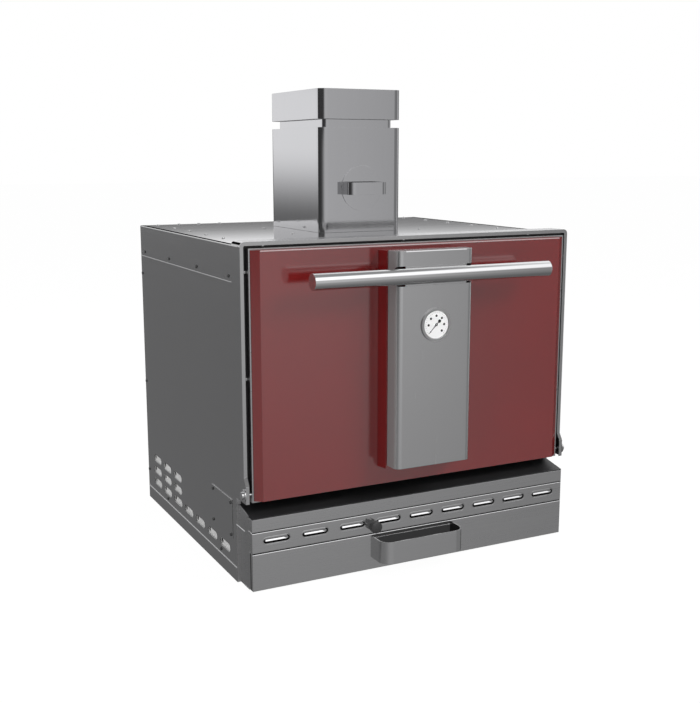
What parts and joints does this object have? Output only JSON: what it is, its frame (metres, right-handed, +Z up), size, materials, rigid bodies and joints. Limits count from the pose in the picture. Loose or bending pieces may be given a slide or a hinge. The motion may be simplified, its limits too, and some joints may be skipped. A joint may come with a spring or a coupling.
{
  "type": "charcoal oven",
  "caption": "Freestanding charcoal oven with a drop-down front door, a dial thermometer, adjustable air vents, an ash drawer and a square chimney with a damper.",
  "frame": {"origin": "centre of the cabinet's underside, on the floor", "axes": "+X to the right as the door is faced, +Y to the back, +Z up"},
  "size_m": [0.8146, 0.7969, 1.0368],
  "materials": {
    "stainless": "brushed stainless steel",
    "bright_steel": "polished, finely brushed stainless steel",
    "chrome": "mirror polished",
    "black_paint": "satin black heat-proof paint",
    "red_enamel": "glossy dark red enamel",
    "cast_iron": "bare, heat-darkened",
    "liner_steel": "heat-darkened sheet",
    "wool": "ceramic fibre",
    "dial_white": "matt white enamel",
    "vent_board": "white enamelled sheet",
    "dial_glass": "clear",
    "black_plastic": "dark heat-proof plastic",
    "needle_black": "matt black"
  },
  "bodies": {
    "cabinet": {"base_tray": "stainless", "left_side_panel": "stainless", "right_side_panel": "stainless", "back_panel": "stainless", "access_cover": "stainless", "plinth_cheeks": "stainless", "plinth_header": "stainless", "air_slot_plate": "stainless", "drawer_runners": "stainless", "top_cover": "bright_steel", "front_surround": "bright_steel", "chimney_housing": "bright_steel", "chimney_cap": "bright_steel", "cap_spacer": "bright_steel", "case_screws": "bright_steel", "frame_screws": "bright_steel", "hinge_bolts": "bright_steel", "shutter_guides": "bright_steel", "lower_cooking_grid": "bright_steel", "upper_cooking_grid": "bright_steel", "mouth_frame": "black_paint", "apron": "black_paint", "fire_grate": "cast_iron", "front_wall": "liner_steel", "firebox_side_walls": "liner_steel", "firebox_back_wall": "liner_steel", "firebox_roof": "liner_steel", "hearth_deck": "liner_steel", "rack_runners": "liner_steel", "flue_liner": "liner_steel", "spark_screen": "liner_steel", "side_insulation": "wool", "back_insulation": "wool", "roof_insulation": "wool", "vent_plates": "vent_board"},
    "damper": {"damper_shaft": "liner_steel", "damper_flap": "liner_steel", "damper_disc": "bright_steel", "damper_handle": "bright_steel"},
    "shutter": {"shutter_plate": "stainless", "shutter_rod": "chrome", "shutter_knob": "black_plastic"},
    "lock": {"lock_nut": "black_plastic"},
    "drawer": {"drawer_front": "stainless", "drawer_box": "stainless", "drawer_handle": "stainless"},
    "door": {"door_frame": "stainless", "door_skin": "red_enamel", "door_pedestal": "red_enamel", "centre_cover": "bright_steel", "handle_bar": "chrome", "handle_posts": "stainless", "door_insulation": "wool", "door_plug": "liner_steel", "plug_insulation": "wool", "door_gasket": "wool", "thermometer_case": "bright_steel", "thermometer_dial": "dial_white", "thermometer_lens": "dial_glass"},
    "needle": {"thermometer_needle": "needle_black"}
  },
  "joints": [
    {"name": "door_hinge", "type": "hinge", "parent": "cabinet", "child": "door", "pos_m": [0, -0.3485, 0.206], "axis": [1, 0, 0], "range_deg": [0, 90]},
    {"name": "needle_turn", "type": "hinge", "parent": "door", "child": "needle", "pos_m": [0, -0.4346, 0.5425], "axis": [0, 1, 0], "range_deg": [0, 270]},
    {"name": "shutter_slide", "type": "slide", "parent": "cabinet", "child": "shutter", "axis": [0, 1, 0], "range_m": [0, 0.014]},
    {"name": "lock_nut_turn", "type": "hinge", "parent": "cabinet", "child": "lock", "pos_m": [-0.123, -0.3675, 0.11], "axis": [0, 1, 0], "range_deg": [0, 180]},
    {"name": "drawer_slide", "type": "slide", "parent": "cabinet", "child": "drawer", "axis": [0, -1, 0], "range_m": [0, 0.35]},
    {"name": "damper_turn", "type": "hinge", "parent": "cabinet", "child": "damper", "pos_m": [0, 0.0495, 0.814], "axis": [0, 1, 0], "range_deg": [0, 90]}
  ]
}
